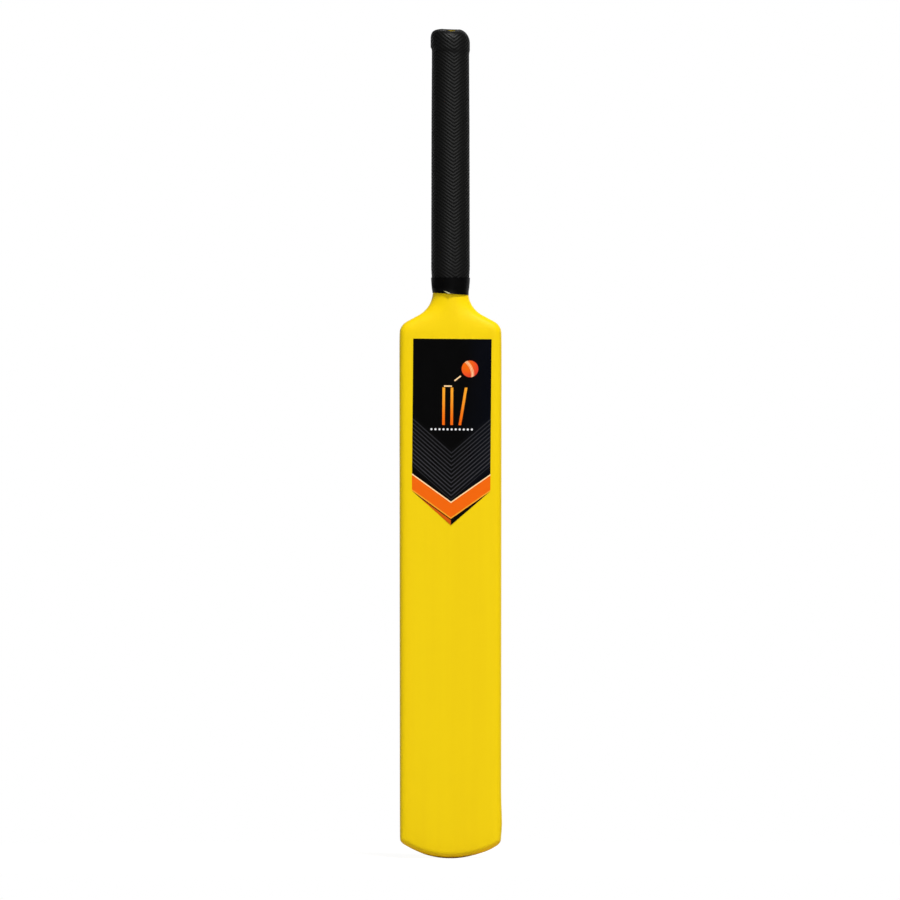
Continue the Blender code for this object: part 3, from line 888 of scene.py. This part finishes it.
# %% Sums that become nodes
class Amount:
    """A socket of a recipe's nodes, used like a number in a sum."""

    def __init__(self, recipe, socket):
        self.recipe = recipe
        self.socket = socket

    def sum_of(self, operation, *parts):
        return self.recipe.add("ShaderNodeMath", dict(enumerate(parts)), operation=operation)

    def __add__(self, other):
        return self.sum_of("ADD", self, other)

    def __sub__(self, other):
        return self.sum_of("SUBTRACT", self, other)

    def __rsub__(self, other):
        return self.sum_of("SUBTRACT", other, self)

    def __mul__(self, other):
        return self.sum_of("MULTIPLY", self, other)

    def __truediv__(self, other):
        return self.sum_of("DIVIDE", self, other)

    def __abs__(self):
        return self.sum_of("ABSOLUTE", self)

    __radd__, __rmul__ = __add__, __mul__


class Recipe:
    """The nodes of one material, or of the world."""

    def __init__(self, tree):
        self.tree = tree

    def add(self, kind, sockets=None, output=0, **settings):
        """Adds a node: its settings first, then a value or a link for each of its sockets."""
        node = self.tree.nodes.new(kind)
        for name, value in settings.items():
            setattr(node, name, value)
        for key, value in (sockets or {}).items():
            self.feed(node.inputs[key], value)
        return Amount(self, node.outputs[output]) if node.outputs else None

    def feed(self, socket, value):
        if isinstance(value, Amount):
            self.tree.links.new(value.socket, socket)
        else:
            socket.default_value = value

    def blend(self, share, first, second):
        """A colour part of the way from the first to the second."""
        return self.add("ShaderNodeMix", {0: share, 6: first, 7: second}, 2, data_type="RGBA")

    def step(self, amount, low, high):
        """0 below low, 1 above high, and a smooth run between them."""
        sockets = {"Value": amount, "From Min": low, "From Max": high}
        return self.add("ShaderNodeMapRange", sockets, interpolation_type="SMOOTHSTEP")

    def vector(self, operation, *parts, output=0):
        return self.add("ShaderNodeVectorMath", dict(enumerate(parts)), output, operation=operation)

    def noise(self, place, scale, detail=2, roughness=0.5):
        """Noise of one scale, or of one for each direction, for a pattern that is longer one way."""
        if isinstance(scale, tuple):
            place, scale = self.vector("MULTIPLY", place, scale), 1
        sockets = {"Vector": place, "Scale": scale, "Detail": detail, "Roughness": roughness}
        return self.add("ShaderNodeTexNoise", sockets)

    def bump(self, height, distance, strength, under=None):
        sockets = {"Height": height, "Distance": distance, "Strength": strength}
        if under:
            sockets["Normal"] = under
        return self.add("ShaderNodeBump", sockets)

    def part(self, place, letter):
        """The X, Y or Z of a place."""
        return self.add("ShaderNodeSeparateXYZ", {0: place}, letter)


class Finish(Recipe):
    """A material on the Principled shader, as glossy everywhere."""

    def __init__(self, name, gloss):
        self.material = bpy.data.materials.new(name)
        self.material.use_nodes = True
        super().__init__(self.material.node_tree)
        self.shader = self.tree.nodes["Principled BSDF"]
        self.shader.inputs["Specular IOR Level"].default_value = gloss
        self.place = self.add("ShaderNodeTexCoord", output="Object")

    def done(self, colour, roughness, normal):
        """Feeds the shader what varies over the surface, and gives the finished material."""
        for name, value in (("Base Color", colour), ("Roughness", roughness), ("Normal", normal)):
            self.feed(self.shader.inputs[name], value)
        return self.material

# %% [markdown]
# The moulding is dyed polyethylene: waxy and satin, with the fine even grain of a blasted mould. Colour in
# it is nearly even, with faint clouds and faint upright streaks where the dye flowed, and play has left
# thin scratches. The rounded lower edge of the toe is painted a deeper amber, as painted shade. The gloss
# is kept low, because this plastic barely shines straight on.

# %% The yellow plastic
YELLOW = (0.863, 0.610, 0.0006, 1)
DEEP_YELLOW = (0.815, 0.550, 0.0004, 1)
PALE_YELLOW = (0.90, 0.68, 0.01, 1)
# Painted shade: the deeper amber of the band round the toe's rounded lower edge.
TOE_SHADE_AMBER = (0.90, 0.46, 0.0006, 1)
CLOUD_COVER = 0.35
SCRATCH_COVER = 0.35
TOE_SHADE_COVER = 0.64
TOE_BAND = (TOE_RADIUS - 0.0045, TOE_RADIUS - 0.0005)
TOE_BAND_HEIGHT = (0.026, 0.014)


def yellow_plastic(name):
    finish = Finish(name, gloss=0.12)
    place = finish.place
    clouds = finish.noise(place, 11, 3)
    streaks = finish.noise(place, (95, 95, 2.2))
    cloudy = finish.step(clouds * 0.3 + streaks * 0.7, 0.35, 0.68)
    colour = finish.blend(cloudy * CLOUD_COVER, YELLOW, DEEP_YELLOW)

    # Painted shade: the band round the toe's lower edge, which turns down away from the light, is painted
    # deeper amber.
    flat = finish.vector("MULTIPLY", finish.vector("ADD", place, (0, 0, -TOE_RADIUS)), (1, 0, 1))
    from_centre = finish.vector("LENGTH", flat, output="Value")
    painted_toe_shade = finish.step(from_centre, *TOE_BAND) * finish.step(finish.part(place, "Z"), *TOE_BAND_HEIGHT)
    colour = finish.blend(painted_toe_shade * TOE_SHADE_COVER, colour, TOE_SHADE_AMBER)

    lines = finish.noise(place, (260, 260, 17), 4, 0.6)
    scratches = finish.step(lines, 0.70, 0.74) * finish.step(clouds, 0.5, 0.62)
    colour = finish.blend(scratches * SCRATCH_COVER, colour, PALE_YELLOW)
    grain = finish.noise(place, 2400)
    roughness = 0.40 + grain * 0.08 + clouds * 0.06 - scratches * 0.08
    ripples = finish.bump(finish.noise(place, (26, 26, 9), 1), 0.0004, 0.35)
    grained = finish.bump(grain, 0.00003, 0.6, ripples)
    return finish.done(colour, roughness, finish.bump(1 - scratches, 0.00004, 0.7, grained))


moulded_plastic = yellow_plastic("moulded_polyethylene")
plug_plastic = yellow_plastic("plug_polyethylene")
print("yellow plastic:", len(moulded_plastic.node_tree.nodes), "nodes")

# %% [markdown]
# The sleeve is matt black rubber. Its ribs' crests are painted lighter and its valleys darker, a painted
# highlight and painted shade; hands polish the crests, which shine a little more, and leave dust in the
# valleys. The colour and the gloss follow an attribute that was stored with the ribs when they were laid.

# %% The black rubber
# Painted shade in the valleys and painted highlight on the crests: two tones of one black rubber.
RUBBER_VALLEY_SHADE = (0.0010, 0.0010, 0.0008, 1)
RUBBER_CREST_HIGHLIGHT = (0.0050, 0.0050, 0.0045, 1)
RUBBER_DUST = (0.03, 0.027, 0.022, 1)
DUST_COVER = 0.25


def black_rubber():
    finish = Finish("grip_rubber", gloss=0.24)
    crest = finish.add("ShaderNodeAttribute", output="Fac", attribute_name="rib_crest")
    wear_and_highlight = finish.noise(finish.place, (30, 30, 12), 3)
    speckle = finish.noise(finish.place, 1500, 3)
    # Painted highlight and shade: crests lighter and valleys darker, as light falls on the ribs; a noise
    # varies how strong the highlight is, and also drives wear and dust.
    colour = finish.blend(crest * (0.6 + wear_and_highlight * 0.5), RUBBER_VALLEY_SHADE, RUBBER_CREST_HIGHLIGHT)
    dust = finish.step(speckle, 0.60, 0.72) * (1 - crest) * finish.step(wear_and_highlight, 0.45, 0.65)
    colour = finish.blend(dust * DUST_COVER, colour, RUBBER_DUST)
    roughness = 0.60 - crest * 0.12 - wear_and_highlight * 0.06
    return finish.done(colour, roughness, finish.bump(speckle, 0.00003, 0.5))


grip_rubber = black_rubber()
print("black rubber:", len(grip_rubber.node_tree.nodes), "nodes")

# %% [markdown]
# Vinyl tape is a deep smooth black with a faint fine crossing of stretch lines. Its sticky side is a pale
# grey cream, which only the curled corner shows.

# %% The tape's two sides
TAPE_BLACKS = ((0.0006, 0.0006, 0.0007, 1), (0.0014, 0.0013, 0.0012, 1))
ADHESIVE_CREAMS = ((0.50, 0.50, 0.24, 1), (0.72, 0.71, 0.42, 1))


def tape_black():
    finish = Finish("tape_vinyl", gloss=0.1)
    stretch = finish.noise(finish.place, (90, 90, 900))
    soft = finish.noise(finish.place, 160)
    normal = finish.bump(stretch + soft * 0.8, 0.00004, 0.5)
    return finish.done(finish.blend(soft, *TAPE_BLACKS), 0.38 + soft * 0.16, normal)


def tape_sticky_side():
    finish = Finish("tape_adhesive", gloss=0.4)
    lint = finish.noise(finish.place, 900, 3)
    normal = finish.bump(lint, 0.00003, 0.5)
    return finish.done(finish.blend(lint, *ADHESIVE_CREAMS), 0.45 + lint * 0.2, normal)


tape.data.materials.append(tape_black())
tape.data.materials.append(tape_sticky_side())
apply_modifier(tape, "SOLIDIFY", thickness=TAPE_THICKNESS, offset=1, material_offset=1)
shade_smooth(tape, sharp_from=50)
print("tape:", len(tape.data.polygons), "faces")

# %% [markdown]
# The sticker's print is worked out as distances, as a sign painter would mark it: how high a point is above
# the sheet's slanted lower edge gives the chevrons and the orange band, and its distance from the middle
# gives the rest. The design is a plain one for the game: a wicket that has just been hit, with one stump
# leaning and one bail in the air, the ball above it, and a row of dots for the ground, over grey chevrons.

# %% The sticker's inks and measures, from its lower tip
INK_BLACK = (0.0006, 0.0005, 0.0006, 1)
# Not an ink: the navy of a painted sheen, a reflection painted on the black's right side.
PAINTED_SHEEN_NAVY = (0.0006, 0.0012, 0.0042, 1)
INK_GREY = (0.040, 0.040, 0.046, 1)
INK_ORANGE = (0.86, 0.130, 0.001, 1)
INK_AMBER = (0.93, 0.36, 0.02, 1)
INK_CREAM = (0.98, 0.66, 0.34, 1)
INK_RED = (0.74, 0.045, 0.018, 1)
INK_WHITE = (0.78, 0.78, 0.80, 1)
INK_EDGE = 0.0002
NAVY_SIDE = (0.022, 0.05)
BORDER = 0.0065
CHEVRONS = (0.0265, 0.0785)
CHEVRON_PITCH = 0.0044
CHEVRON_HALF = 0.00075
CHEVRON_FADE = (0.030, 0.090)
TIP_BELOW = -0.0012
BANDS = [(0, 0.0015, INK_AMBER), (0.0015, 0.0165, INK_ORANGE), (0.0165, 0.0180, INK_CREAM)]
STUMPS = (0.104, 0.143)
STUMP_PITCH = 0.0085
STUMP_HALF = 0.0014
STUMPS_LEANING = [(-STUMP_PITCH, 0), (0, 0), (STUMP_PITCH, 9)]
BAIL_HALF = (0.0041, 0.0007)
BAILS = [(-0.0042, 0.1444, 0), (0.0058, 0.1525, 38)]
BALL = (0.0185, 0.1625)
BALL_RADIUS = 0.0088
BALL_LIGHT = (0.0155, 0.1655)
BALL_SHADE = (0.002, 0.013)
SEAM_CENTRE = (0.0035, 0.1560)
SEAM_RADIUS = 0.0178
STITCHES_ASIDE = 0.0012
STITCH_HALF = 0.0004
STITCH_PITCH = 0.0014
STITCH_SLANT = 0.5
GROUND = 0.0995
GROUND_HALF = 0.0231
DOT_PITCH = 0.0042
DOT_RADIUS = 0.0011

# %% The print as one finish
def printed_sheet():
    finish = Finish("printed_vinyl", gloss=0.14)
    flat = finish.add("ShaderNodeAttribute", output="Vector", attribute_name="print_place")
    x, up = finish.part(flat, "X"), finish.part(flat, "Y")
    aside = abs(x)

    def below(amount, high):
        """1 below a measure and 0 above it, with the ink's soft edge."""
        return 1 - finish.step(amount, high - INK_EDGE / 2, high + INK_EDGE / 2)

    def within(amount, low, high):
        return finish.step(amount, low - INK_EDGE / 2, low + INK_EDGE / 2) * below(amount, high)

    def far(right, high):
        """Length of a way on the sheet."""
        squares = right * right + high * high
        return squares.sum_of("SQRT", squares)

    def from_nearest(amount, pitch):
        """Distance to the nearest of a row of marks at this pitch."""
        share = amount.sum_of("FRACT", amount / pitch + 0.5)
        return abs(share - 0.5) * pitch

    above_edge = up - aside * (STICKER_POINT / STICKER_HALF)
    band = above_edge - (1 - aside / STICKER_HALF) * BORDER
    # Painted reflection: the black is painted toward navy on the right, a sheen that stands in for light.
    painted_sheen = finish.step(x + finish.noise(flat, 25) * 0.03, *NAVY_SIDE)
    lines = below(from_nearest(above_edge, CHEVRON_PITCH), CHEVRON_HALF) * within(above_edge, *CHEVRONS)
    faded = 1 - 0.4 * finish.step(above_edge, *CHEVRON_FADE)
    layers = [
        (painted_sheen * 0.8, PAINTED_SHEEN_NAVY),
        (lines * faded, INK_GREY),
        (below(band, TIP_BELOW) * below(x, 0) * 0.7, INK_ORANGE),
    ]
    layers += [(within(band, low, high), ink) for low, high, ink in BANDS]

    stump_ink = finish.blend(finish.step(up, *STUMPS), INK_ORANGE, INK_AMBER)
    for foot, lean in STUMPS_LEANING:
        beside = abs(x - foot - (up - STUMPS[0]) * math.tan(math.radians(lean)))
        layers.append((below(beside, STUMP_HALF) * within(up, *STUMPS), stump_ink))
    for right, high, turn in BAILS:
        cosine, sine = math.cos(math.radians(turn)), math.sin(math.radians(turn))
        along = abs((x - right) * cosine + (up - high) * sine)
        across = abs((up - high) * cosine - (x - right) * sine)
        layers.append((below(along, BAIL_HALF[0]) * below(across, BAIL_HALF[1]), INK_CREAM))

    on_ball = 1 - finish.step(far(x - BALL[0], up - BALL[1]), BALL_RADIUS - INK_EDGE, BALL_RADIUS)
    shade = finish.step(far(x - BALL_LIGHT[0], up - BALL_LIGHT[1]), *BALL_SHADE)
    from_seam = abs(far(x - SEAM_CENTRE[0], up - SEAM_CENTRE[1]) - SEAM_RADIUS)
    stitches = below(from_nearest(up - x * STITCH_SLANT, STITCH_PITCH), STITCH_HALF)
    stitches = stitches * below(abs(from_seam - STITCHES_ASIDE), STITCH_HALF)
    dot = far(from_nearest(x, DOT_PITCH), up - GROUND)
    layers += [
        (on_ball, finish.blend(shade, INK_ORANGE, INK_RED)),
        ((stitches + below(from_seam, STITCH_HALF)) * on_ball, INK_CREAM),
        (below(dot, DOT_RADIUS) * below(aside, GROUND_HALF), INK_WHITE),
        (finish.step(up, STICKER_HEIGHT - CLEAR_MARGIN, STICKER_HEIGHT), PALE_YELLOW),
    ]
    rubbed = finish.step(finish.noise(flat, 420, 3, 0.6), 0.70, 0.78)
    layers.append((rubbed * 0.06, INK_GREY))

    colour = INK_BLACK
    for cover, ink in layers:
        colour = finish.blend(cover, colour, ink)
    waves = finish.noise(flat, (60, 22, 60))
    return finish.done(colour, 0.24 + waves * 0.10 + rubbed * 0.2, finish.bump(waves, 0.0003, 0.25))


sticker_vinyl = printed_sheet()
print("print:", len(sticker_vinyl.node_tree.nodes), "nodes")

# %% The pieces in their finishes
DRESSED = [
    (bat, moulded_plastic, MOULDING, "moulded_plastic"),
    (plug, plug_plastic, "handle_end_plug", "plug_plastic"),
    (grip, grip_rubber, "grip_sleeve", "grip_rubber"),
    (tape, None, "binding_tape", "tape_vinyl"),
    (sheet, sticker_vinyl, "face_sticker", "sticker_vinyl"),
]
for piece, finish_material, node_name, slot_name in DRESSED:
    if finish_material:
        piece.data.materials.clear()
        piece.data.materials.append(finish_material)
    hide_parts(node_name)
    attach(piece, "root")
    print(piece.name, "stands for", node_name)

# %% [markdown]
# The bat stands on its toe on a pale floor, in front of nothing but white. The white is a colour of the
# floor and of the world as the camera sees them, and not more light, so the yellow keeps its depth. The
# world lights the bat as a dim room would, and gloss sees the white where it hangs, behind the bat.

# %% The floor and the world
WHITE = (1, 1, 1, 1)
FLOOR_SIZE = 60.0
FLOOR_COLOUR = (0.55, 0.55, 0.55, 1)
FLOOR_SEEN = (0.20, 0.20, 0.20, 1)
FLOOR_GLOW = 0.86
FLOOR_BEHIND = (2, 6)
SHADOW_REACH = 0.9
WORLD_BEHIND = (0.6, 0.95)
ROOM_LIGHT = 0.30
ROOM_GLOSS = 0.04


def seen_as_white(recipe, place, behind):
    """Where white is seen: by the camera, and by gloss and glass behind the bat. Also where gloss looks."""
    rays = ("Is Camera Ray", "Is Glossy Ray", "Is Transmission Ray")
    camera, glossy, transmission = [recipe.add("ShaderNodeLightPath", output=ray) for ray in rays]
    far_behind = recipe.step(recipe.part(place, "Y"), *behind)
    return camera + (glossy + transmission) * far_behind, glossy


def make_floor():
    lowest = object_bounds()[0].z
    plane_add = bpy.ops.mesh.primitive_plane_add
    floor = start_piece("studio_floor", plane_add, size=FLOOR_SIZE, location=(0, 0, lowest))
    material = bpy.data.materials.new("studio_floor")
    material.use_nodes = True
    recipe = Recipe(material.node_tree)
    recipe.tree.nodes.clear()
    place = recipe.add("ShaderNodeTexCoord", output="Object")
    shown, glossy = seen_as_white(recipe, place, FLOOR_BEHIND)
    away = recipe.vector("LENGTH", place, output="Value")
    far = recipe.step(away, SHADOW_REACH / 2, SHADOW_REACH)
    paint = recipe.add("ShaderNodeBsdfDiffuse", {"Color": FLOOR_COLOUR})
    paint_seen = recipe.add("ShaderNodeBsdfDiffuse", {"Color": FLOOR_SEEN})
    glow = recipe.add("ShaderNodeEmission", {"Color": WHITE, "Strength": FLOOR_GLOW})
    near = recipe.add("ShaderNodeAddShader", {0: paint_seen, 1: glow})
    white = recipe.add("ShaderNodeEmission", {"Color": WHITE, "Strength": 1.0})
    seen = recipe.add("ShaderNodeMixShader", {0: far, 1: near, 2: white})
    plain = recipe.add("ShaderNodeMixShader", {0: glossy, 1: paint, 2: paint_seen})
    surface = recipe.add("ShaderNodeMixShader", {0: shown, 1: plain, 2: seen})
    recipe.add("ShaderNodeOutputMaterial", {"Surface": surface})
    floor.data.materials.append(material)


def make_world():
    world = bpy.data.worlds.new("studio")
    world.use_nodes = True
    bpy.context.scene.world = world
    recipe = Recipe(world.node_tree)
    recipe.tree.nodes.clear()
    toward = recipe.add("ShaderNodeTexCoord", output="Generated")
    white, glossy = seen_as_white(recipe, toward, WORLD_BEHIND)
    room = ROOM_LIGHT - glossy * (ROOM_LIGHT - ROOM_GLOSS)
    strength = room + white * (1 - room)
    light = recipe.add("ShaderNodeBackground", {"Color": WHITE, "Strength": strength})
    recipe.add("ShaderNodeOutputWorld", {"Surface": light})


make_floor()
make_world()
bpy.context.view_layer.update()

# %% [markdown]
# One large soft lamp hangs high in front and a little to the right. It strikes the shoulders' slopes more
# squarely than the face, so they are the brightest part, and it leaves the toe's underside dark. A weak one
# fills from the front right. The third stands behind the bat on the right, so that the scooped back reads
# when it is looked at, and gives no gloss, because that would edge the moulding with white in front. All
# are far away, so that the light is even from the toe to the grip. A lamp's share is what it adds to a
# surface that faces it, where 1 shows a colour as it is written.

# %% The lamps
AIM = Vector((0, 0, 0.42))
LAMP_DISTANCE = 6.0


def soft_lamp(name, toward, size, share, shines=True):
    data = bpy.data.lights.new(name, "AREA")
    data.shape = "DISK"
    data.size = size
    data.energy = share * (math.pi * LAMP_DISTANCE) ** 2
    lamp = bpy.data.objects.new(name, data)
    toward = Vector(toward).normalized()
    lamp.location = AIM + toward * LAMP_DISTANCE
    lamp.rotation_euler = toward.to_track_quat("Z", "Y").to_euler()
    lamp.visible_glossy = shines
    bpy.context.collection.objects.link(lamp)
    print(name, "at", [round(c, 2) for c in lamp.location], "with", round(data.energy), "W")


soft_lamp("high_lamp", toward=(0.15, -0.5, 0.86), size=1.4, share=0.89)
soft_lamp("front_lamp", toward=(0.20, -0.88, 0.44), size=1.2, share=0.16)
soft_lamp("back_lamp", toward=(0.50, 0.76, 0.40), size=1.6, share=0.55, shines=False)

# %% [markdown]
# The photograph is square on and almost without perspective, so the camera is far away with a long lens. It
# looks level at the middle of the frame's height. The frame's width at the bat comes from the photograph's
# scale: the bat is 828 of its 900 pixels high.

# %% The camera
PIXEL = 0.0010384
FRAME_PIXELS = 900
FLOOR_LINE = 857.9
BLADE_CENTRE = 450.5
LENS = 800
SENSOR = 36


def make_camera():
    data = bpy.data.cameras.new("photo_camera")
    data.lens = LENS
    data.sensor_width = SENSOR
    camera = bpy.data.objects.new("photo_camera", data)
    distance = FRAME_PIXELS * PIXEL * LENS / SENSOR
    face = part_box(MOULDING)[0].y
    aside = (FRAME_PIXELS / 2 - BLADE_CENTRE) * PIXEL
    height = (FLOOR_LINE - FRAME_PIXELS / 2) * PIXEL
    camera.location = (aside, face - distance, height)
    camera.rotation_euler = (math.pi / 2, 0, 0)
    bpy.context.collection.objects.link(camera)
    bpy.context.scene.camera = camera
    return distance


print("camera", round(make_camera(), 3), "m away")
bpy.context.scene.view_settings.view_transform = "Standard"
